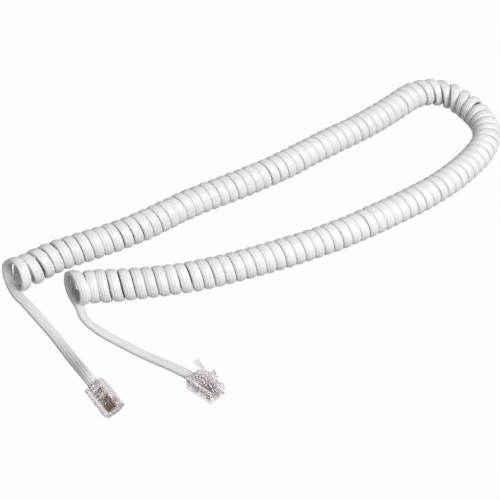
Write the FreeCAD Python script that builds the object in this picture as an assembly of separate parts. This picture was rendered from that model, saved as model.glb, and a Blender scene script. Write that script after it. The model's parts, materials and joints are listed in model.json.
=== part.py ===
"""Coiled handset cord of a telescope hand controller, with a four-way modular plug on each lead.

The cord lies on a surface as a narrow hairpin of tight coil.  From each mouth of the coil a
short flat lead runs to its plug.  All sizes are in millimetres.  The origin is the middle of
the footprint on the surface, +X runs from the coil's mouths to its bend, and +Z is up.
"""

import FreeCAD, Part
import math
import os

V = FreeCAD.Vector

# ---- cord -----------------------------------------------------------------------------
coil_od = 12.7            # outside diameter of the coil
cable_w = 4.2             # flat cable, across its broad face
cable_t = 2.3             # flat cable, thickness

# Centre line of the coil from the first mouth round the bend to the second mouth.
coil_route = [
    (-112.8, 32.8), (-107.5, 33.1), (-96.0, 35.6), (-80.5, 34.9), (-64.0, 34.3), (-50.1, 35.6),
    (-32.1, 38.4), (-8.1, 38.6), (13.9, 40.0), (37.9, 44.4), (59.9, 46.8), (81.9, 51.9),
    (94.5, 56.0), (104.1, 54.5), (109.6, 47.6), (111.1, 38.0), (110.8, 27.5), (107.2, 15.7),
    (97.0, 5.6), (77.9, -2.7), (57.9, -7.7), (33.9, -10.0), (9.9, -11.4), (-14.1, -9.8),
    (-38.1, -6.6), (-56.0, -2.9), (-70.5, 2.6), (-83.4, 7.7), (-91.5, 11.9), (-96.8, 13.9),
]
# Free points of each lead between the coil's last half turn and the plug.  The third value
# is how far the cable is lifted off the surface.
lead_a_route = [
    (-114.7, 22.6, 0), (-113.9, 12.6, 0), (-113.0, 2.1, 0), (-112.8, -7.9, 0.6),
    (-113.8, -19.9, 3.8),
]
lead_b_route = [
    (-99.6, 1.1, 0), (-97.2, -7.9, 0), (-93.2, -17.4, 0), (-88.0, -28.9, 0),
]
lead_out_length = 4.8     # straight cable where a lead leaves the coil's last half turn
lead_in_length = 5.0      # straight cable behind each plug, in line with it
turn_gap = 0.1            # gap between the coil's end and the half turn that leaves it
lead_overrun = 1.0        # lead is drawn this far past the plug's rear face, then trimmed to it
arc_share = 0.45          # share of the shorter run that each bend may use

# ---- modular plug ---------------------------------------------------------------------
plug_length = 12.3        # nose to rear face
plug_width = 7.65
body_height = 5.6         # contact face to the top of the body
nose_height = 6.6         # contact face to the top of the latch's root block
edge_chamfer = 0.3
cable_height = 2.9        # contact face to the cable's middle line
cable_gap = 0.15          # clearance round the jacket in the plug
wire_pitch = 1.02
wire_count = 4
wire_od = 0.92            # insulated conductor
core_od = 0.46            # bare tinsel core
wire_gap = 0.05           # clearance round the row of conductors
wire_stop = 0.9           # conductor ends behind the nose face
core_proud = 0.15         # core stands past its insulation

blade_length = 2.6
blade_thickness = 0.3
blade_recess = 0.55       # blade's edge below the contact face
blade_front = 0.6         # blade's front behind the nose face
blade_shoulder = 2.2      # contact face to the shoulder under the tines
tine_length = 0.6
slot_gap = 0.08           # clearance each side of a blade

wire_bar_inset = 1.1      # conductor clamp window, behind the blades
wire_bar_length = 1.5
jacket_inset = 0.5        # jacket's end, behind the conductor clamp window
jacket_bar_inset = 1.0    # jacket clamp window, behind the jacket's end
jacket_bar_length = 3.0
jacket_bar_width = 3.4
jacket_bar_bite = 0.4     # how far the clamp bar presses into the jacket
bar_slit = 0.7            # open slit behind each clamp bar
bar_recess = 0.9          # clamp bar's outer face below the contact face

latch_width = 3.2
latch_thickness = 1.0
latch_length = 11.6       # hinge line to free end
latch_tip_width = 1.5     # width of the lever's handle
latch_taper = 1.2         # length over which the lever narrows behind its shoulders
latch_a_angle = 29.2      # latch to the body where plug A lies on it
latch_b_angle = 36.0      # latch to the body when released
latch_hinge_back = 1.3    # hinge line behind the nose face
latch_running_gap = 0.1
shoulder_width = 6.0
shoulder_start = 1.7      # locking shoulders, from the hinge line
shoulder_length = 3.2
shoulder_rise = 0.8
grip_count = 3            # ridges across the latch's free end
grip_height = 0.25
grip_length = 0.5
grip_pitch = 1.1
root_block_front = 0.15   # root block's front behind the nose face
root_block_side = 0.35    # root block wider than the latch, each side
finger_channel_depth = 0.5
finger_channel_front = 1.5  # front of the channel under the latch, behind the hinge line
weld = 0.1                # pieces of one moulding reach this far into each other

# Where each plug lies: nose point on its contact face, then yaw, pitch and roll in degrees.
plug_a_place = ((-113.9, -52.2, 7.85), (-80.0, 19.0, 212.0))
plug_b_place = ((-76.0, -60.5, 0), (-73.0, 0.0, 0.0))

wire_names = ["black", "red", "green", "yellow"]


# ---- helpers --------------------------------------------------------------------------
def rounded_path(points, label):
    """Wire of straight runs joined by tangent arcs through the given route points."""
    edges = []
    start = points[0]
    radii = []
    for before, corner, after in zip(points, points[1:], points[2:]):
        run_in = corner - before
        run_out = after - corner
        turn = run_in.getAngle(run_out)
        cut = arc_share * min(run_in.Length, run_out.Length)
        radii.append(cut / math.tan(turn / 2))
        u_in = V(run_in).normalize()
        u_out = V(run_out).normalize()
        first = corner - u_in * cut
        last = corner + u_out * cut
        inward = (u_out - u_in).normalize()
        centre = corner + inward * (radii[-1] / math.cos(turn / 2))
        middle = centre - inward * radii[-1]
        edges.append(Part.LineSegment(start, first).toShape())
        edges.append(Part.Arc(first, middle, last).toShape())
        start = last
    edges.append(Part.LineSegment(start, points[-1]).toShape())
    print(label, "bend radii:", " ".join("%.1f" % r for r in radii))
    return Part.Wire(edges)


def report_volume(label, solid, section_area, path):
    """Print how a swept solid compares with its section times its length."""
    ratio = solid.Volume / (section_area * path.Length)
    print("%s length %.1f volume ratio %.4f" % (label, path.Length, ratio))


def round_sweep(points, diameter, label):
    """Round bar of one diameter along a route."""
    path = rounded_path(points, label)
    direction = points[1] - points[0]
    ring = Part.Wire([Part.Circle(points[0], direction, diameter / 2).toShape()])
    solid = path.makePipeShell([ring], True, False)
    report_volume(label, solid, math.pi * diameter ** 2 / 4, path)
    return solid


def stadium(width, thickness):
    """Flat cable section in the YZ plane: two straight sides and two round edges."""
    flat = (width - thickness) / 2
    r = thickness / 2
    corners = [V(0, -flat, -r), V(0, flat, -r), V(0, flat, r), V(0, -flat, r)]
    return Part.Wire([
        Part.LineSegment(corners[0], corners[1]).toShape(),
        Part.Arc(corners[1], V(0, flat + r, 0), corners[2]).toShape(),
        Part.LineSegment(corners[2], corners[3]).toShape(),
        Part.Arc(corners[3], V(0, -flat - r, 0), corners[0]).toShape(),
    ])


def stadium_area(width, thickness):
    """Area of the flat cable's section."""
    return (width - thickness) * thickness + math.pi * thickness ** 2 / 4


def cable_section(centre, direction):
    """Flat cable section, broad face up, placed across a direction."""
    heading = math.degrees(math.atan2(direction.y, direction.x))
    rise = math.degrees(math.atan2(direction.z, math.hypot(direction.x, direction.y)))
    section = stadium(cable_w, cable_t)
    section.Placement = FreeCAD.Placement(centre, FreeCAD.Rotation(heading, -rise, 0))
    return section


def flat_sweep(points, label):
    """Flat cable along a route, broad face up."""
    path = rounded_path(points, label)
    sweep = Part.BRepOffsetAPI.MakePipeShell(path)
    sweep.setBiNormalMode(V(0, 0, 1))
    sweep.add(cable_section(points[0], points[1] - points[0]), False, False)
    sweep.build()
    sweep.makeSolid()
    solid = sweep.shape()
    report_volume(label, solid, stadium_area(cable_w, cable_t), path)
    return solid


def box(x0, x1, y0, y1, z0, z1):
    """Box between two corners."""
    return Part.makeBox(x1 - x0, y1 - y0, z1 - z0, V(x0, y0, z0))


def wide_box(x0, x1, width, z0, z1):
    """Box centred across the plug."""
    return box(x0, x1, -width / 2, width / 2, z0, z1)


def rod(x0, x1, y, z, diameter):
    """Round rod along the plug's axis."""
    return Part.makeCylinder(diameter / 2, x1 - x0, V(x0, y, z), V(1, 0, 0))


# ---- plug in its own frame: nose at x = 0, contact face at z = 0, latch on top ----------
rear = -plug_length
jacket_floor = cable_height - cable_t / 2
wire_floor = cable_height - wire_od / 2
hinge_x = -latch_hinge_back
hinge_z = body_height + latch_running_gap + latch_thickness / 2
blade_back_x = -blade_front - blade_length
wire_bar_front = blade_back_x - wire_bar_inset
wire_bar_back = wire_bar_front - wire_bar_length
jacket_end_x = wire_bar_back - jacket_inset
jacket_bar_front = jacket_end_x - jacket_bar_inset
jacket_bar_back = jacket_bar_front - jacket_bar_length
wire_lines = [(i - (wire_count - 1) / 2) * wire_pitch for i in range(wire_count)]


def make_clamp_bars():
    """The two moulded bars that are pressed in on the jacket and on the conductors."""
    jacket_bar = wide_box(jacket_bar_back + bar_slit, jacket_bar_front, jacket_bar_width,
                          bar_recess, jacket_floor + jacket_bar_bite)
    wire_bar = wide_box(wire_bar_back + bar_slit, wire_bar_front, wire_count * wire_pitch,
                        bar_recess, wire_floor)
    return jacket_bar, wire_bar


def make_blade(y):
    """Contact blade: a plate with two tines that pierce the conductor."""
    y0 = y - blade_thickness / 2
    y1 = y + blade_thickness / 2
    top = cable_height
    blade = box(blade_back_x, -blade_front, y0, y1, blade_recess, blade_shoulder)
    for x0 in (blade_back_x, -blade_front - tine_length):
        blade = blade.fuse(box(x0, x0 + tine_length, y0, y1, blade_shoulder - weld, top))
    return blade.removeSplitter()


def make_housing():
    """Clear moulded body with its cavities, contact slots, clamp bars and latch root block."""
    body = wide_box(rear, 0, plug_width, 0, body_height)
    body = body.makeChamfer(edge_chamfer, body.Edges)
    block = wide_box(hinge_x, -root_block_front, latch_width + 2 * root_block_side,
                     body_height - finger_channel_depth, nose_height)
    body = body.fuse(block)
    seat_r = latch_thickness / 2 + latch_running_gap
    seat = Part.makeCylinder(seat_r, plug_width, V(hinge_x, -plug_width / 2, hinge_z), V(0, 1, 0))
    body = body.cut(seat)
    channel = wide_box(rear, hinge_x - finger_channel_front, latch_width + 2 * root_block_side,
                       body_height - finger_channel_depth, body_height)
    body = body.cut(channel)
    pocket_w = cable_w + 2 * cable_gap
    pocket_t = cable_t + 2 * cable_gap
    body = body.cut(wide_box(rear, jacket_end_x, pocket_w,
                             cable_height - pocket_t / 2, cable_height + pocket_t / 2))
    row_h = wire_od + 2 * wire_gap
    row_w = (wire_count - 1) * wire_pitch + row_h
    body = body.cut(wide_box(jacket_end_x - weld, -wire_stop + core_proud + wire_gap, row_w,
                             cable_height - row_h / 2, cable_height + row_h / 2))
    for y in wire_lines:
        half = blade_thickness / 2 + slot_gap
        body = body.cut(box(blade_back_x - slot_gap, 0, y - half, y + half, 0, blade_shoulder))
        body = body.cut(box(blade_back_x - slot_gap, -blade_front + slot_gap, y - half, y + half,
                            blade_shoulder - weld, cable_height))
    body = body.cut(wide_box(jacket_bar_back, jacket_bar_front, jacket_bar_width,
                             0, cable_height))
    body = body.cut(wide_box(wire_bar_back, wire_bar_front, wire_count * wire_pitch,
                             0, cable_height))
    for bar in make_clamp_bars():
        body = body.fuse(bar)
    return body.removeSplitter()


def make_latch(angle):
    """Latch lever at one angle to the body, with locking shoulders and grip ridges."""
    half = latch_thickness / 2
    wide_end = shoulder_start + shoulder_length
    broad, slim = latch_width / 2, latch_tip_width / 2
    outline = [(0, -broad), (-wide_end, -broad), (-wide_end - latch_taper, -slim),
               (-latch_length, -slim)]
    outline += [(x, -y) for x, y in outline[::-1]]
    plate = Part.makePolygon([V(x, y, -half) for x, y in outline + outline[:1]])
    lever = Part.Face(plate).extrude(V(0, 0, latch_thickness))
    lever = lever.fuse(Part.makeCylinder(half, latch_width, V(0, -latch_width / 2, 0), V(0, 1, 0)))
    wedge = Part.Face(Part.makePolygon([
        V(-shoulder_start, 0, -half), V(-shoulder_start - shoulder_length, 0, -half),
        V(-shoulder_start - shoulder_length, 0, half + shoulder_rise),
        V(-shoulder_start, 0, half), V(-shoulder_start, 0, -half)]))
    wedge = wedge.extrude(V(0, shoulder_width, 0))
    wedge.translate(V(0, -shoulder_width / 2, 0))
    slot = wide_box(-latch_length, 0, latch_width, half, half + 2 * shoulder_rise)
    lever = lever.fuse(wedge.cut(slot))
    for i in range(grip_count):
        x = -latch_length + grip_length + i * grip_pitch
        lever = lever.fuse(wide_box(x, x + grip_length, latch_tip_width,
                                    half - weld, half + grip_height))
    lever = lever.removeSplitter()
    lever.rotate(V(0, 0, 0), V(0, 1, 0), angle)
    lever.translate(V(hinge_x, 0, hinge_z))
    return lever


def make_jacket_end():
    """Cable jacket inside the plug, with the notch pressed in it by the clamp bar."""
    end = Part.Face(stadium(cable_w, cable_t)).extrude(V(jacket_end_x - rear, 0, 0))
    end.translate(V(rear, 0, cable_height))
    return end.cut(make_clamp_bars()[0])


def make_plug_parts(latch_angle):
    """Every piece of one plug, by name, in the plug's own frame."""
    pieces = {"housing": make_housing(), "latch": make_latch(latch_angle),
              "jacket_end": make_jacket_end()}
    for colour, y in zip(wire_names, wire_lines):
        blade = make_blade(y)
        core = rod(jacket_end_x, -wire_stop + core_proud, y, cable_height, core_od)
        skin = rod(jacket_end_x, -wire_stop, y, cable_height, wire_od).cut(core)
        pieces["contact_" + colour] = blade
        pieces["wire_" + colour] = skin.cut(blade)
        pieces["core_" + colour] = core.cut(blade)
    return pieces


# ---- the whole cord -------------------------------------------------------------------
def plug_placement(place):
    """Placement that carries the plug's frame to where it lies."""
    position, angles = place
    return FreeCAD.Placement(V(*position), FreeCAD.Rotation(*angles))


def make_lead(mouth, inner, route, placement, label):
    """Last half turn at a coil mouth and the flat lead that runs from it to a plug."""
    outward = (mouth - inner).normalize()
    heading = V(0, 0, 1).cross(outward)
    centre = mouth + outward * (cable_w / 2 + turn_gap)
    turn_r = (coil_od - cable_t) / 2
    top = Part.Face(cable_section(centre + V(0, 0, turn_r), heading))
    half_turn = top.revolve(centre, outward, 180)
    start = centre - V(0, 0, turn_r)
    points = [start, start + heading * lead_out_length]
    points += [V(x, y, cable_t / 2 + lift) for x, y, lift in route]
    points.append(placement.multVec(V(rear - lead_in_length, 0, cable_height)))
    points.append(placement.multVec(V(rear + lead_overrun, 0, cable_height)))
    lead = half_turn.fuse(flat_sweep(points, label)).removeSplitter()
    plug_space = wide_box(rear, 0, 2 * plug_width, -plug_width, 2 * plug_width)
    plug_space.Placement = placement
    return lead.cut(plug_space)


def build():
    """All nodes of the part, by name."""
    coil_points = [V(x, y, coil_od / 2) for x, y in coil_route]
    nodes = {"coil_jacket": round_sweep(coil_points, coil_od, "coil")}
    plugs = (("a", coil_points[:2], lead_a_route, plug_a_place, latch_a_angle),
             ("b", coil_points[:-3:-1], lead_b_route, plug_b_place, latch_b_angle))
    for side, (mouth, inner), route, place, latch_angle in plugs:
        placement = plug_placement(place)
        nodes["lead_" + side] = make_lead(mouth, inner, route, placement, "lead " + side)
        for name, piece in make_plug_parts(latch_angle).items():
            piece.Placement = placement.multiply(piece.Placement)
            nodes["plug_%s_%s" % (side, name)] = piece
        hinge = placement.multVec(V(hinge_x, 0, hinge_z))
        axis = placement.Rotation.multVec(V(0, 1, 0))
        print("latch %s hinge %.3f %.3f %.3f axis %.5f %.5f %.5f" % (side, *hinge, *axis))
        print("plug %s nose %.3f %.3f %.3f heading %.5f %.5f %.5f" % (
            side, *placement.multVec(V(0, 0, body_height / 2)), *placement.Rotation.multVec(V(1, 0, 0))))
    return nodes


os.makedirs("parts", exist_ok=True)
total = FreeCAD.BoundBox()
for node, shape in build().items():
    low = shape.BoundBox
    total.add(low)
    print("%-22s solids %d valid %s volume %.2f low z %.2f" % (
        node, len(shape.Solids), shape.isValid(), shape.Volume, low.ZMin))
    shape.exportStep("parts/%s.step" % node)
print("box x %.2f %.2f  y %.2f %.2f  z %.2f %.2f" % (
    total.XMin, total.XMax, total.YMin, total.YMax, total.ZMin, total.ZMax))
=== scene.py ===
"""Looks of a coiled flat handset cord with a clear modular plug on each lead.

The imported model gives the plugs, their latches and where everything lies.  This file winds the
real cable along the coil's centre line, dresses the plugs in clear plastic, gold and coloured
insulation, and sets the studio.  Everything is in metres.
"""

import json
import logging
import math
from dataclasses import dataclass, field
from enum import Enum
from typing import Iterable

import bmesh
import bpy
import numpy as np
from mathutils import Matrix, Vector

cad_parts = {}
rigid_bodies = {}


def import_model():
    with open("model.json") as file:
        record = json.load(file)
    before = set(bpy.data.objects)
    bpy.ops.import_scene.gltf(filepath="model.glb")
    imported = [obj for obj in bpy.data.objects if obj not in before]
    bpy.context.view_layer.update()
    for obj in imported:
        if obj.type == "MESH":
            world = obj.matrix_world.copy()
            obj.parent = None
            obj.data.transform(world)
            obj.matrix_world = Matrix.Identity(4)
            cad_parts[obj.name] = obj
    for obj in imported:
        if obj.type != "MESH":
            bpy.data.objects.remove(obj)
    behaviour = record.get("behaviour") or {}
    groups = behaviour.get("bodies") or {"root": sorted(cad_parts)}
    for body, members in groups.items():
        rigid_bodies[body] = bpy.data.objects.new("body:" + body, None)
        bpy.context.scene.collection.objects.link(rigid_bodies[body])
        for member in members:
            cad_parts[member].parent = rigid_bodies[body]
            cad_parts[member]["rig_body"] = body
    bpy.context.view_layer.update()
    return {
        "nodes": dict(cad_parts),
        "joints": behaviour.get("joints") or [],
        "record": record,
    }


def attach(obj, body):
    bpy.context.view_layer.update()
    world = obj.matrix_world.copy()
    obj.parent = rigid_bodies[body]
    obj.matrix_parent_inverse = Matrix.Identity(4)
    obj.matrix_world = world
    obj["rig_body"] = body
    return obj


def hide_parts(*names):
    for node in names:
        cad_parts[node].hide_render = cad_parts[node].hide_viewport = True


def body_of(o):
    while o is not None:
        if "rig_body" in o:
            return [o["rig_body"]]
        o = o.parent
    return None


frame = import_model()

log = logging.getLogger("handset_cord")
MM = 0.001
UP = np.array([0.0, 0.0, 1.0])


# ---- small vector helpers -------------------------------------------------------------
def unit(rows: np.ndarray) -> np.ndarray:
    """Each row divided by its own length."""
    return rows / np.linalg.norm(rows, axis=-1, keepdims=True)


def along(line: np.ndarray) -> np.ndarray:
    """Distance from the start of a line of points to each of them."""
    return np.concatenate([[0.0], np.cumsum(np.linalg.norm(np.diff(line, axis=0), axis=1))])


def sample(line: np.ndarray, where: np.ndarray) -> np.ndarray:
    """Points of a line at given distances, which run straight on past both its ends.

    Args:
        line: Points of the line, one row each.
        where: Distances from its start.

    Returns:
        One point for each distance.
    """
    reach = along(line)
    inside = np.clip(where, 0.0, reach[-1])
    points = np.stack([np.interp(inside, reach, line[:, k]) for k in range(3)], axis=1)
    first, last = unit(line[1] - line[0]), unit(line[-1] - line[-2])
    before = np.minimum(where, 0.0)[:, None] * first
    after = np.maximum(where - reach[-1], 0.0)[:, None] * last
    return points + before + after


def smooth(x: np.ndarray) -> np.ndarray:
    """Soft step from 0 to 1 while x runs from 0 to 1: three x squared less two x cubed."""
    x = np.clip(x, 0.0, 1.0)
    return x * x * (3.0 - 2.0 * x)


def read_spline(points: Iterable[tuple[float, float, float]], resolution: int) -> np.ndarray:
    """Line of a smooth cord route, as a NURBS spline with the route's points as controls.

    Args:
        points: Route points.
        resolution: Steps between two control points.

    Returns:
        Points of the smooth line.
    """
    curve = bpy.data.curves.new("route", "CURVE")
    curve.dimensions = "3D"
    spline = curve.splines.new("NURBS")
    rows = [(*p, 1.0) for p in points]
    spline.points.add(len(rows) - 1)
    for point, row in zip(spline.points, rows):
        point.co = row
    spline.order_u = 3
    spline.use_endpoint_u = True
    spline.resolution_u = resolution
    holder = bpy.data.objects.new("route", curve)
    mesh = bpy.data.meshes.new_from_object(holder)
    line = np.zeros(len(mesh.vertices) * 3)
    mesh.vertices.foreach_get("co", line)
    bpy.data.meshes.remove(mesh)
    bpy.data.objects.remove(holder)
    bpy.data.curves.remove(curve)
    return line.reshape(-1, 3)


# ---- finishes -------------------------------------------------------------------------
class Nodes:
    """Short way to build one material's node tree."""

    def __init__(self, name: str) -> None:
        """Start an empty material with an output."""
        self.material = bpy.data.materials.new(name)
        self.material.use_nodes = True
        self.tree = self.material.node_tree
        self.tree.nodes.clear()
        self.out = self.tree.nodes.new("ShaderNodeOutputMaterial")

    def add(self, kind: str, **settings: object) -> bpy.types.Node:
        """Add a node and set its plain settings."""
        node = self.tree.nodes.new(kind)
        for key, value in settings.items():
            setattr(node, key, value)
        return node

    def link(self, source: bpy.types.NodeSocket, target: bpy.types.NodeSocket) -> None:
        """Join two sockets."""
        self.tree.links.new(source, target)

    def shader(self, **sockets: object) -> bpy.types.Node:
        """Add the main shader with these sockets set, joined to the output."""
        node = self.add("ShaderNodeBsdfPrincipled")
        for key, value in sockets.items():
            node.inputs[key.replace("_", " ")].default_value = value
        self.link(node.outputs[0], self.out.inputs["Surface"])
        return node

    def noise(self, scale: float, detail: float = 3.0) -> bpy.types.Node:
        """Noise on Object coordinates."""
        where = self.add("ShaderNodeTexCoord")
        node = self.add("ShaderNodeTexNoise")
        node.inputs["Scale"].default_value = scale
        node.inputs["Detail"].default_value = detail
        self.link(where.outputs["Object"], node.inputs["Vector"])
        return node

    def tone(self, shader: bpy.types.Node, noise: bpy.types.Node, ends: tuple[float, float],
             dark: tuple[float, float, float], light: tuple[float, float, float]) -> None:
        """Let the shader's colour follow a noise.

        Args:
            shader: The main shader.
            noise: The noise.
            ends: Values of the noise, below which the colour is dark and above which it is light.
            dark: Dark colour.
            light: Light colour.
        """
        node = self.add("ShaderNodeValToRGB")
        for element, place, colour in zip(node.color_ramp.elements, ends, (dark, light)):
            element.position = place
            element.color = (*colour, 1.0)
        self.link(noise.outputs["Fac"], node.inputs["Fac"])
        self.link(node.outputs["Color"], shader.inputs["Base Color"])

    def roughness(self, shader: bpy.types.Node, noise: bpy.types.Node,
                  ends: tuple[float, float]) -> None:
        """Let the shader's roughness follow a noise between two ends."""
        node = self.span(noise.outputs["Fac"], *ends)
        self.link(node.outputs["Result"], shader.inputs["Roughness"])

    def span(self, source: bpy.types.NodeSocket, low: float, high: float) -> bpy.types.Node:
        """A 0 to 1 value spread over another range."""
        node = self.add("ShaderNodeMapRange")
        node.inputs["To Min"].default_value = low
        node.inputs["To Max"].default_value = high
        self.link(source, node.inputs["Value"])
        return node

    def bump(self, source: bpy.types.NodeSocket, distance: float,
             strength: float) -> bpy.types.Node:
        """Surface relief from a value."""
        node = self.add("ShaderNodeBump")
        node.inputs["Distance"].default_value = distance
        node.inputs["Strength"].default_value = strength
        self.link(source, node.inputs["Height"])
        return node


@dataclass(frozen=True)
class JacketFinish:
    """Semi-gloss white flexible PVC, a little uneven in tone and sheen."""

    name: str = "jacket_pvc"
    light: tuple[float, float, float] = (0.76, 0.76, 0.755)
    dark: tuple[float, float, float] = (0.70, 0.70, 0.695)
    roughness: tuple[float, float] = (0.34, 0.5)
    refraction: float = 1.53
    glow_share: float = 0.06
    glow_depth: float = 2 * MM
    tone_ends: tuple[float, float] = (0.3, 0.7)
    cloud_scale: float = 90.0
    grain_scale: float = 2600.0
    grain_depth: float = 0.04 * MM
    grain_strength: float = 0.25

    def build(self) -> bpy.types.Material:
        """Make the material: cloudy tone, fine drawn grain and soft sheen."""
        n = Nodes(self.name)
        shader = n.shader(IOR=self.refraction, Subsurface_Weight=self.glow_share,
                          Subsurface_Scale=self.glow_depth)
        n.tone(shader, n.noise(self.cloud_scale), self.tone_ends, self.dark, self.light)
        grain = n.noise(self.grain_scale)
        n.roughness(shader, grain, self.roughness)
        relief = n.bump(grain.outputs["Fac"], self.grain_depth, self.grain_strength)
        n.link(relief.outputs["Normal"], shader.inputs["Normal"])
        return n.material


@dataclass(frozen=True)
class ClearFinish:
    """Clear moulded polycarbonate, a little unevenly polished."""

    name: str = "clear_polycarbonate"
    tint: tuple[float, float, float] = (0.80, 0.755, 0.77)
    clearness: float = 0.9
    refraction: float = 1.45
    roughness: tuple[float, float] = (0.10, 0.24)
    flow_scale: float = 420.0
    flow_detail: float = 2.0

    def build(self) -> bpy.types.Material:
        """Make the material: tinted and clear, with a polish that varies in soft patches."""
        n = Nodes(self.name)
        shader = n.shader(IOR=self.refraction, Base_Color=(*self.tint, 1.0),
                          Transmission_Weight=self.clearness)
        n.roughness(shader, n.noise(self.flow_scale, self.flow_detail), self.roughness)
        return n.material


@dataclass(frozen=True)
class MetalFinish:
    """Bare or plated metal with a fine worn sheen."""

    name: str
    light: tuple[float, float, float]
    dark: tuple[float, float, float]
    tone_ends: tuple[float, float] = (0.35, 0.65)
    roughness: tuple[float, float] = (0.18, 0.36)
    grain_scale: float = 3000.0

    def build(self) -> bpy.types.Material:
        """Make the material: metal whose tone and roughness vary finely."""
        n = Nodes(self.name)
        shader = n.shader(Metallic=1.0)
        grain = n.noise(self.grain_scale)
        n.tone(shader, grain, self.tone_ends, self.dark, self.light)
        n.roughness(shader, grain, self.roughness)
        return n.material


@dataclass(frozen=True)
class InsulationFinish:
    """Coloured conductor insulation, smooth and slightly glossy."""

    name: str
    light: tuple[float, float, float]
    dark: tuple[float, float, float]
    tone_ends: tuple[float, float] = (0.3, 0.7)
    roughness: tuple[float, float] = (0.3, 0.45)
    refraction: float = 1.5
    cloud_scale: float = 700.0

    def build(self) -> bpy.types.Material:
        """Make the material: one colour with slight clouds."""
        n = Nodes(self.name)
        shader = n.shader(IOR=self.refraction)
        cloud = n.noise(self.cloud_scale)
        n.tone(shader, cloud, self.tone_ends, self.dark, self.light)
        n.roughness(shader, cloud, self.roughness)
        return n.material


class Finish(Enum):
    """Every finish on the cord, by the record's slot name."""

    white_jacket = JacketFinish()
    clear_housing = ClearFinish()
    gold_contact = MetalFinish("gold_plate", (0.74, 0.58, 0.34), (0.58, 0.43, 0.23))
    copper_core = MetalFinish("copper_tinsel", (0.78, 0.46, 0.30), (0.52, 0.28, 0.17))
    black_insulation = InsulationFinish("black_pvc", (0.035, 0.035, 0.038), (0.02, 0.02, 0.022))
    red_insulation = InsulationFinish("red_pvc", (0.42, 0.06, 0.05), (0.32, 0.04, 0.035))
    green_insulation = InsulationFinish("green_pvc", (0.07, 0.20, 0.10), (0.04, 0.15, 0.07))
    yellow_insulation = InsulationFinish("yellow_pvc", (0.55, 0.40, 0.14), (0.44, 0.31, 0.10))


class Palette:
    """Materials of the finishes, each made once."""

    def __init__(self) -> None:
        """Build every material."""
        self.made = {finish.name: finish.value.build() for finish in Finish}

    def dress(self, piece: bpy.types.Object, slot: str) -> None:
        """Give a piece one finish all over, chosen by the record's slot name.

        Args:
            piece: The mesh object.
            slot: The record's material slot.
        """
        piece.data.materials.clear()
        piece.data.materials.append(self.made[slot])


# ---- plugs ----------------------------------------------------------------------------
@dataclass
class ModularPlug:
    """Four-way clear plug: where it lies, and the finish of its pieces."""

    side: str
    length: float = 12.3 * MM
    body_height: float = 5.6 * MM
    cable_height: float = 2.9 * MM
    edge_round: float = 0.09 * MM
    round_steps: int = 2
    weld: float = 0.002 * MM
    flat_angle: float = math.radians(1)
    sharp_angle: float = math.radians(30)
    colours: tuple[str, ...] = ("black", "red", "green", "yellow")
    nose: np.ndarray = field(init=False)
    heading: np.ndarray = field(init=False)
    across: np.ndarray = field(init=False)

    def __post_init__(self) -> None:
        """Read the plug's place from its mount and its latch hinge."""
        mounts = {m["name"]: m for m in frame["record"]["mounts"]}
        joints = {j["name"]: j for j in frame["joints"]}
        mount = mounts["plug_%s_nose" % self.side]
        self.nose = np.array(mount["pos_m"])
        self.heading = unit(np.array(mount["axis"]))
        self.across = unit(np.array(joints["latch_%s_press" % self.side]["axis"]))

    @property
    def latch_up(self) -> np.ndarray:
        """Direction from the contact face to the latch."""
        return np.cross(self.heading, self.across)

    def cable_point(self, behind: float) -> np.ndarray:
        """Middle of the cable at a distance behind the plug's rear face."""
        lift = self.cable_height - self.body_height / 2
        return self.nose - self.heading * (self.length + behind) + self.latch_up * lift

    def names(self) -> list[str]:
        """Names of all CAD nodes of this plug."""
        parts = ["housing", "latch", "jacket_end"]
        parts += [k + "_" + c for k in ("contact", "wire", "core") for c in self.colours]
        return ["plug_%s_%s" % (self.side, part) for part in parts]

    def softened(self, source: bpy.types.Object) -> bpy.types.Object:
        """Copy of a moulded CAD piece with its sharp edges rounded off.

        Args:
            source: The CAD piece.

        Returns:
            The copy, which stands in for it.
        """
        mesh = source.data.copy()
        work = bmesh.new()
        work.from_mesh(mesh)
        bmesh.ops.remove_doubles(work, verts=work.verts, dist=self.weld)
        bmesh.ops.dissolve_limit(work, angle_limit=self.flat_angle,
                                 verts=work.verts, edges=work.edges)
        sharp = [e for e in work.edges
                 if len(e.link_faces) == 2 and e.calc_face_angle(0.0) > self.sharp_angle]
        bmesh.ops.bevel(work, geom=sharp, offset=self.edge_round, segments=self.round_steps,
                        profile=0.5, affect="EDGES", clamp_overlap=True)
        work.to_mesh(mesh)
        work.free()
        mesh.polygons.foreach_set("use_smooth", [False] * len(mesh.polygons))
        piece = bpy.data.objects.new(source.name + "_moulded", mesh)
        bpy.context.scene.collection.objects.link(piece)
        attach(piece, body_of(source)[0])
        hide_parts(source.name)
        return piece

    def dress(self, palette: Palette) -> list[bpy.types.Object]:
        """Finish the plug's pieces.

        Args:
            palette: The materials.

        Returns:
            The pieces that show.
        """
        slots = {s["node"]: s["material_slot"] for s in frame["record"]["subparts"]}
        shown = []
        for name in self.names():
            piece = frame["nodes"][name]
            if slots[name] == "clear_housing":
                piece = self.softened(piece)
            palette.dress(piece, slots[name])
            shown.append(piece)
            log.info("%s: finish %s, %d faces", piece.name, slots[name], len(piece.data.polygons))
        return shown


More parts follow.
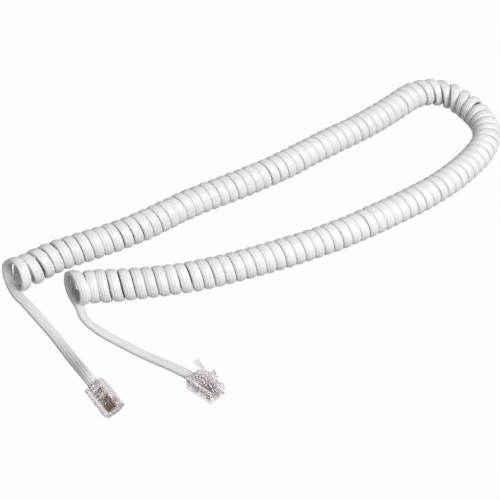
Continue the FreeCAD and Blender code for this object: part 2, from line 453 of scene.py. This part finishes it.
# ---- cable ----------------------------------------------------------------------------
@dataclass
class FlatLead:
    """Flat cable between the coil's last half turn and a plug.

    Its broad face rolls by `start_roll` near the coil and by `roll` along the middle, and turns to
    the plug's face at the end.  The spans say over which shares of the length each roll comes
    and goes.
    """

    route: list[tuple[float, float, float]]
    plug: ModularPlug
    roll: float = 0.0
    start_roll: float = 0.0
    roll_spans: tuple[float, float] = (0.25, 0.3)
    start_spans: tuple[float, float] = (0.08, 0.3)
    start_ends: float = 0.4
    plug_turn_from: float = 0.45
    plug_turn_span: float = 0.5
    out_length: float = 4.8 * MM
    in_length: float = 5.0 * MM

    def rolls(self, share: np.ndarray, end_roll: float) -> np.ndarray:
        """Roll of the broad face along the lead.

        Args:
            share: Places on the lead, from 0 at the coil to 1 at the plug.
            end_roll: Roll of the plug's face.

        Returns:
            Angles in radians.
        """
        comes, goes = self.roll_spans
        middle = self.roll * smooth(share / comes) * smooth((1 - share) / goes)
        comes, goes = self.start_spans
        start = self.start_roll * smooth(share / comes) * smooth((self.start_ends - share) / goes)
        end = end_roll * smooth((share - self.plug_turn_from) / self.plug_turn_span)
        return middle + start + end


@dataclass
class Mouth:
    """How the last turns lie at one end of the coil.

    The tilt leans them to and fro along the coil.  Each bend is a turn count from the mouth's top,
    with the shift into the coil and the change of radius there, in millimetres.  The half turn has
    counts below 0.
    """

    tilt: float
    bends: tuple[tuple[float, float, float], ...]
    first_turn: float = -0.7
    last_turn: float = 3.0
    turn_step: float = 0.005
    soft_steps: int = 23

    def bent(self, inward: np.ndarray, column: int) -> np.ndarray:
        """Softly joined values of the bends.

        Args:
            inward: Turn counts from the mouth's top.
            column: 1 for the shift into the coil, 2 for the change of radius.

        Returns:
            Lengths in metres.
        """
        table = np.array(self.bends)
        fine = np.arange(self.first_turn, self.last_turn, self.turn_step)
        window = np.hanning(self.soft_steps)
        value = np.interp(fine, table[:, 0], table[:, column])
        soft = np.convolve(value, window / window.sum(), "same")
        soft[:self.soft_steps // 2 + 1] = table[0, column]
        return np.interp(inward, fine, soft, right=0.0) * MM


@dataclass
class CoiledCable:
    """Flat four-conductor cable: lead, half turn, coil, half turn and lead, all in one piece.

    Attributes:
        roundness: Power of the section's superellipse, 2 for an ellipse.
        edge_places: Section points near the cable's edge, in shares of its half width.
        groove_depth: Depth of the grooves between the conductors.
        half_turn_pitch: How far a half turn leads along the coil, in cable widths for each turn.
        mouth_fades: Number of turns over which the tilt and flare of a mouth fade.
        flare: Extra radius of the turns at the mouths.
        end_looseness: Extra turn spacing at the mouths, as a share.
        corner: Where the coil bends most sharply.
        corner_reach: How far before and after the corner its effect goes.
        corner_lag: Power that holds back the turns' swing, 1 for none.
        bend_opening: How much of the coil's bending opens the turn spacing.
        most_open: Widest turn spacing in a bend, in cable widths.
        play: Spread of the turns' small random shifts.
        calm_turns: Number of turns at each mouth over which these shifts fade.
    """

    leads: tuple[FlatLead, FlatLead]
    mouths: tuple[Mouth, Mouth]
    coil_route: list[tuple[float, float]]
    coil_od: float = 12.7 * MM
    width: float = 4.2 * MM
    thickness: float = 2.3 * MM
    roundness: float = 2.2
    edge_places: tuple[float, float] = (0.886, 0.976)
    wires: int = 4
    wire_pitch: float = 1.02 * MM
    points_per_wire: int = 4
    groove_depth: float = 0.17 * MM
    rings_per_turn: int = 22
    lead_step: float = 0.9 * MM
    coil_samples: int = 2400
    coil_resolution: int = 24
    lead_resolution: int = 16
    half_turn_pitch: float = 1.1
    mouth_fades: float = 3.0
    flare: float = 0.95 * MM
    end_looseness: float = 0.18
    loose_length: float = 16 * MM
    corner: tuple[float, float] = (111.0 * MM, 28.0 * MM)
    corner_reach: tuple[float, float] = (42 * MM, 16 * MM)
    corner_lag: float = 0.5
    bend_reach: float = 6 * MM
    bend_opening: float = 0.9
    most_open: float = 1.7
    play: float = 0.10 * MM
    calm_turns: float = 2.0
    seed: int = 7

    @property
    def wind_radius(self) -> float:
        """Radius of the cable's middle line in the coil."""
        return (self.coil_od - self.thickness) / 2

    def section(self) -> tuple[np.ndarray, np.ndarray]:
        """Outline of the cable, once round.

        A superellipse: the height over the half width y is (1 - (y/a)^n)^(1/n) of the half
        thickness, with cosine grooves between the four conductors.

        Returns:
            Offsets across the broad face and offsets through the thickness.
        """
        side = self.width / 2
        count = (self.wires - 1) * self.points_per_wire // 2
        over_wires = np.arange(-count, count + 1) * self.wire_pitch / self.points_per_wire
        edges = np.array(self.edge_places) * side
        across = np.concatenate([-edges[::-1], over_wires, edges])
        share = np.abs(across) / side
        height = self.thickness / 2 * (1 - share ** self.roundness) ** (1 / self.roundness)
        wave = -np.cos(2 * math.pi * across / self.wire_pitch) - 1
        grooved = slice(len(edges), -len(edges))
        height[grooved] += wave[grooved] * self.groove_depth / 2
        y = np.concatenate([across, [side], across[::-1], [-side]])
        z = np.concatenate([height, [0.0], -height[::-1], [0.0]])
        return y, z

    def support(self, roll: np.ndarray) -> np.ndarray:
        """Height of the cable's middle when it lies on the floor, rolled by an angle."""
        return np.hypot(self.width / 2 * np.sin(roll), self.thickness / 2 * np.cos(roll))

    def turn_planes(self, centre: np.ndarray, s: np.ndarray) -> np.ndarray:
        """Heading angle of the turns' axis along the coil.

        The turns keep their direction into the sharp corner and swing round in its middle: at a
        share x of the reach from the corner, the heading is read further out, at x to the power
        of the lag.

        Args:
            centre: Points of the centre line.
            s: Distances along it.

        Returns:
            Angles in radians.
        """
        places = sample(centre, s)
        heading = np.gradient(places, axis=0)
        angle = np.unwrap(np.arctan2(heading[:, 1], heading[:, 0]))
        away = np.hypot(places[:, 0] - self.corner[0], places[:, 1] - self.corner[1])
        corner = s[np.argmin(away)]
        reach = np.where(s < corner, *self.corner_reach)
        x = (s - corner) / reach
        lagged = np.where(np.abs(x) < 1, np.sign(x) * np.abs(x) ** self.corner_lag, x)
        return np.interp(corner + lagged * reach, s, angle)

    def turn_counts(self, s: np.ndarray, planes: np.ndarray) -> np.ndarray:
        """Turns wound from the first mouth on, which come to a whole number at the second.

        The turns lie one cable width apart, and wider in bends and towards the mouths.

        Args:
            s: Distances along the centre line.
            planes: Heading angle of the turns' axis there.

        Returns:
            One count for each distance.
        """
        reach, step = s[-1], s[1] - s[0]
        window = np.hanning(int(self.bend_reach / step))
        bend = np.convolve(np.abs(np.gradient(planes, s)), window / window.sum(), "same")
        spread = 1 / np.maximum(1 - self.bend_opening * self.wind_radius * bend, 1 / self.most_open)
        spread *= 1 + self.end_looseness * (np.exp(-s / self.loose_length)
                                            + np.exp(-(reach - s) / self.loose_length))
        turns = np.concatenate([[0.0], np.cumsum(step / (self.width * spread[:-1]))])
        return turns * (round(turns[-1]) / turns[-1])

    def winding(self) -> tuple[np.ndarray, np.ndarray]:
        """Middle line of the half turns and the coil.

        The line goes round the coil's centre line at the winding radius.  Its turn angle is 0 at
        the top, and grows to the right hand of the direction from the first mouth to the second.
        Towards each mouth the turns grow wider and looser, and the last half turn goes down the
        far side and out over the floor.

        Returns:
            Points and outward directions of the thickness.
        """
        route = [(x * MM, y * MM, self.coil_od / 2) for x, y in self.coil_route]
        centre = read_spline(route, self.coil_resolution)
        reach = along(centre)[-1]
        s = np.linspace(0.0, reach, self.coil_samples)
        planes = self.turn_planes(centre, s)
        turns = self.turn_counts(s, planes)
        whole = round(turns[-1])
        angle = np.linspace(-0.5, whole + 0.5, (whole + 1) * self.rings_per_turn + 1)
        where = np.interp(angle, turns, s)
        past_ends = np.minimum(angle, 0) + np.maximum(angle - whole, 0)
        where += past_ends * self.width * self.half_turn_pitch
        radius = np.full(len(angle), self.wind_radius)
        rng = np.random.default_rng(self.seed)
        knots = np.arange(0, whole + 1)
        loose = smooth(angle / self.calm_turns) * smooth((whole - angle) / self.calm_turns)
        where += np.interp(angle, knots, rng.normal(0, self.play, len(knots))) * loose
        radius -= np.interp(angle, knots, np.abs(rng.normal(0, self.play, len(knots)))) * loose
        rise = np.zeros(len(angle))
        near, far = self.mouths
        for mouth, inward, sign in ((near, angle, 1), (far, whole - angle, -1)):
            counted = np.maximum(inward, 0)
            tilt = mouth.tilt * np.exp(-counted / self.mouth_fades) * np.sin(2 * math.pi * inward)
            where += sign * (tilt + mouth.bent(inward, 1))
            rise += self.flare * np.exp(-counted / self.mouth_fades)
            radius += mouth.bent(inward, 2)
        middle = sample(centre, where)
        turned = np.interp(where, s, planes)
        side = np.stack([-np.sin(turned), np.cos(turned), np.zeros(len(turned))], axis=1)
        phase = 2 * math.pi * angle
        outward = UP * np.cos(phase)[:, None] - side * np.sin(phase)[:, None]
        log.info("coil of %d turns on %.1f mm", whole, reach / MM)
        return middle + UP * rise[:, None] + outward * (radius + rise)[:, None], outward

    def lead_line(self, lead: FlatLead, start: np.ndarray, heading: np.ndarray) -> np.ndarray:
        """Smooth line of one lead, from the coil's half turn to the plug.

        Args:
            lead: The lead.
            start: Where the half turn ends, at the bottom of the coil.
            heading: Direction in which the half turn ends.

        Returns:
            Points a lead_step apart.
        """
        points = [start, start + heading * lead.out_length]
        rest = self.thickness / MM / 2
        points += [np.array([x, y, rest + lift]) * MM for x, y, lift in lead.route]
        points += [lead.plug.cable_point(lead.in_length), lead.plug.cable_point(0.0)]
        line = read_spline([tuple(p) for p in points], self.lead_resolution)
        reach = along(line)[-1]
        return sample(line, np.linspace(0, reach, math.ceil(reach / self.lead_step) + 1))

    def lead_rolls(self, lead: FlatLead, line: np.ndarray) -> tuple[np.ndarray, np.ndarray]:
        """Outward direction of the thickness along a lead, and the roll of the broad face.

        Args:
            lead: The lead.
            line: Its middle line.

        Returns:
            Directions and roll angles.
        """
        ahead = unit(np.gradient(line, axis=0))
        down = unit(-UP - (ahead @ -UP)[:, None] * ahead)
        right = np.cross(ahead, down)
        face = lead.plug.latch_up
        if face @ down[-1] < 0:
            face = -face
        end_roll = math.atan2(face @ right[-1], face @ down[-1])
        share = along(line) / along(line)[-1]
        roll = lead.rolls(share, end_roll)
        return down * np.cos(roll)[:, None] + right * np.sin(roll)[:, None], roll

    def lines(self) -> tuple[np.ndarray, np.ndarray]:
        """Middle line of the whole cable from plug to plug, and its thickness direction."""
        points, outward = self.winding()
        points[:, 2] = np.maximum(points[:, 2], self.thickness / 2)
        ends = []
        for lead, tip, before in ((self.leads[0], points[0], points[1]),
                                  (self.leads[1], points[-1], points[-2])):
            heading = unit((tip - before) * [1, 1, 0])
            line = self.lead_line(lead, tip, heading)
            direction, roll = self.lead_rolls(lead, line)
            line[:, 2] = np.maximum(line[:, 2], self.support(roll))
            ends.append((line[1:], direction[1:]))
        middle = np.concatenate([ends[0][0][::-1], points, ends[1][0]])
        return middle, np.concatenate([ends[0][1][::-1], outward, ends[1][1]])

    def build(self, palette: Palette, far_pieces: list[bpy.types.Object]) -> bpy.types.Object:
        """Make the cable's mesh: its section carried along its middle line.

        Args:
            palette: The materials.
            far_pieces: Pieces of the plug on the far end; not used.

        Returns:
            The cable.
        """
        middle, outward = self.lines()
        ahead = unit(np.gradient(middle, axis=0))
        across = unit(np.cross(outward, ahead))
        through = np.cross(ahead, across)
        y, z = self.section()
        rings = (middle[:, None] + across[:, None] * y[None, :, None]
                 + through[:, None] * z[None, :, None])
        count, sides = len(middle), len(y)
        i, j = np.meshgrid(np.arange(count - 1), np.arange(sides), indexing="ij")
        k = (j + 1) % sides
        here, there = i * sides, (i + 1) * sides
        quads = np.stack([here + j, here + k, there + k, there + j], -1).reshape(-1, 4)
        faces = quads.tolist()
        faces += [list(range(sides))[::-1], list(range((count - 1) * sides, count * sides))]
        mesh = bpy.data.meshes.new("coiled_cable")
        mesh.from_pydata(rings.reshape(-1, 3).tolist(), [], faces)
        mesh.polygons.foreach_set("use_smooth", [True] * len(quads) + [False] * 2)
        mesh.update()
        piece = bpy.data.objects.new("coiled_cable", mesh)
        bpy.context.scene.collection.objects.link(piece)
        palette.dress(piece, "white_jacket")
        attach(piece, "cord")
        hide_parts("coil_jacket", "lead_a", "lead_b")
        return piece


# ---- studio ---------------------------------------------------------------------------
@dataclass(frozen=True)
class Lamp:
    """Square soft lamp, aimed at the origin: its place, its side and its power in watts."""

    name: str
    at: tuple[float, float, float]
    size: float
    power: float

    def place(self) -> None:
        """Add the lamp to the scene."""
        light = bpy.data.lights.new(self.name, "AREA")
        light.size = self.size
        light.energy = self.power
        lamp = bpy.data.objects.new(self.name, light)
        lamp.location = self.at
        lamp.rotation_euler = (-Vector(self.at)).to_track_quat("-Z", "Y").to_euler()
        bpy.context.scene.collection.objects.link(lamp)


@dataclass
class Studio:
    """White floor, soft lamps and the camera."""

    camera_at: tuple[float, float, float] = (-0.2471, -0.3678, 0.36565)
    camera_along: tuple[float, float, float] = (0.39454, 0.65663, -0.64279)
    lens: float = 100.44
    sensor: float = 36.0
    near_limit: float = 10 * MM
    lamps: tuple[Lamp, ...] = (Lamp("key", (0.12, -0.72, 0.8), 0.7, 14.8),
                               Lamp("fill", (0.2, 0.9, 0.9), 0.9, 3.0))
    light_all_round: float = 0.13
    floor_size: float = 6.0
    floor_tone: float = 0.35
    shown_white: float = 0.97

    def floor(self) -> None:
        """Lay a floor that the camera sees as white with the object's soft shadow on it."""
        half = self.floor_size / 2
        mesh = bpy.data.meshes.new("floor")
        corners = [(-half, -half, 0), (half, -half, 0), (half, half, 0), (-half, half, 0)]
        mesh.from_pydata(corners, [], [(0, 1, 2, 3)])
        plane = bpy.data.objects.new("floor", mesh)
        bpy.context.scene.collection.objects.link(plane)
        n = Nodes("floor_white")
        matt = n.add("ShaderNodeBsdfDiffuse")
        matt.inputs["Color"].default_value = (self.floor_tone,) * 3 + (1.0,)
        glow = n.add("ShaderNodeEmission")
        path = n.add("ShaderNodeLightPath")
        seen = self.any_of(n, [path.outputs["Is Camera Ray"], path.outputs["Is Glossy Ray"],
                               path.outputs["Is Transmission Ray"]])
        share = n.span(seen, 0.0, self.shown_white)
        mix = n.add("ShaderNodeMixShader")
        n.link(share.outputs["Result"], mix.inputs["Fac"])
        n.link(matt.outputs[0], mix.inputs[1])
        n.link(glow.outputs[0], mix.inputs[2])
        n.link(mix.outputs[0], n.out.inputs["Surface"])
        mesh.materials.append(n.material)

    @staticmethod
    def any_of(n: Nodes, sockets: list[bpy.types.NodeSocket]) -> bpy.types.NodeSocket:
        """The largest of several 0 or 1 values."""
        result = sockets[0]
        for socket in sockets[1:]:
            node = n.add("ShaderNodeMath", operation="MAXIMUM")
            n.link(result, node.inputs[0])
            n.link(socket, node.inputs[1])
            result = node.outputs[0]
        return result

    def world(self) -> None:
        """Even dim light from all round, seen as white by the camera."""
        world = bpy.data.worlds.new("studio")
        bpy.context.scene.world = world
        world.use_nodes = True
        tree = world.node_tree
        back = tree.nodes["Background"]
        back.inputs["Color"].default_value = (1.0, 1.0, 1.0, 1.0)
        path = tree.nodes.new("ShaderNodeLightPath")
        most = tree.nodes.new("ShaderNodeMath")
        most.operation = "MAXIMUM"
        tree.links.new(path.outputs["Is Camera Ray"], most.inputs[0])
        tree.links.new(path.outputs["Is Transmission Ray"], most.inputs[1])
        level = tree.nodes.new("ShaderNodeMapRange")
        level.inputs["To Min"].default_value = self.light_all_round
        level.inputs["To Max"].default_value = 1.0
        tree.links.new(most.outputs[0], level.inputs["Value"])
        tree.links.new(level.outputs["Result"], back.inputs["Strength"])

    def camera(self) -> None:
        """Place the camera."""
        data = bpy.data.cameras.new("camera")
        data.lens = self.lens
        data.sensor_width = self.sensor
        data.clip_start = self.near_limit
        eye = bpy.data.objects.new("camera", data)
        look = Vector(self.camera_along)
        turn = look.to_track_quat("-Z", "Y").to_matrix().to_4x4()
        eye.matrix_world = Matrix.Translation(self.camera_at) @ turn
        bpy.context.scene.collection.objects.link(eye)
        bpy.context.scene.camera = eye

    def build(self) -> None:
        """Set up floor, world, lamps, camera and view transform."""
        bpy.context.scene.view_settings.view_transform = "Standard"
        self.floor()
        self.world()
        for lamp in self.lamps:
            lamp.place()
        self.camera()


# ---- the cord's own values ------------------------------------------------------------
# Routes are x and y in millimetres; a lead's third value is its lift off the floor.
COIL_ROUTE = [
    (-112.8, 32.8), (-107.5, 33.1), (-96.0, 35.6), (-80.5, 34.9), (-64.0, 34.3), (-50.1, 35.6),
    (-32.1, 38.4), (-8.1, 38.6), (13.9, 40.0), (37.9, 44.4), (59.9, 46.8), (81.9, 51.9),
    (94.5, 56.0), (104.1, 54.5), (109.6, 47.6), (111.1, 38.0), (110.8, 27.5), (107.2, 15.7),
    (97.0, 5.6), (77.9, -2.7), (57.9, -7.7), (33.9, -10.0), (9.9, -11.4), (-14.1, -9.8),
    (-38.1, -6.6), (-56.0, -2.9), (-70.5, 2.6), (-83.4, 7.7), (-91.5, 11.9), (-96.8, 13.9),
]
MOUTH_A = Mouth(-0.5 * MM, (
    (-0.5, -0.2, 0.0), (-0.42, -0.4, 0.2), (-0.33, -0.6, 0.3), (-0.2, -0.6, -0.1),
    (-0.1, 0.3, -0.5), (0.0, 0.9, -0.1), (0.1, 1.0, 0.0), (0.2, 0.4, 0.0), (0.3, -0.3, 0.0),
    (0.45, -1.8, 0.2), (0.55, -1.6, 0.0), (0.68, -0.7, -0.4), (0.8, -0.2, -0.5),
    (1.0, 0.2, -0.5), (1.15, 0.1, -0.3), (1.3, 0.0, 0.0)))
MOUTH_B = Mouth(0.5 * MM, (
    (-0.5, 2.1, 0.0), (-0.42, 0.9, 0.2), (-0.33, 0.0, 0.3), (-0.2, -0.2, -0.1),
    (-0.1, 0.5, -0.5), (0.0, 1.2, -0.1), (0.1, 1.7, 0.0), (0.2, 2.2, 0.0), (0.3, 1.5, 0.0),
    (0.45, -1.1, 0.2), (0.55, -0.6, 0.0), (0.68, 0.7, -0.4), (0.8, 1.5, -0.5),
    (1.0, 1.1, -0.5), (1.15, 0.8, -0.3), (1.3, 0.4, 0.0), (1.6, 0.0, 0.0)))
LEAD_A_ROUTE = [
    (-114.7, 22.6, 0), (-113.9, 12.6, 0), (-113.0, 2.1, 0), (-112.8, -7.9, 0.6),
    (-113.8, -19.9, 3.8),
]
LEAD_B_ROUTE = [
    (-99.6, 1.1, 0), (-97.2, -7.9, 0), (-93.2, -17.4, 0), (-88.0, -28.9, 0),
]
LEAD_B_ROLL = math.radians(-12)
LEAD_B_START_ROLL = math.radians(-25)


def main() -> None:
    """Build the cord and the studio."""
    logging.basicConfig(level=logging.INFO, format="%(message)s")
    palette = Palette()
    plug_a, plug_b = ModularPlug("a"), ModularPlug("b")
    plug_a.dress(palette)
    far_pieces = plug_b.dress(palette)
    lead_a = FlatLead(LEAD_A_ROUTE, plug_a)
    lead_b = FlatLead(LEAD_B_ROUTE, plug_b, LEAD_B_ROLL, LEAD_B_START_ROLL)
    cable = CoiledCable((lead_a, lead_b), (MOUTH_A, MOUTH_B), COIL_ROUTE)
    cable.build(palette, far_pieces)
    Studio().build()


if __name__ == "__main__":
    main()
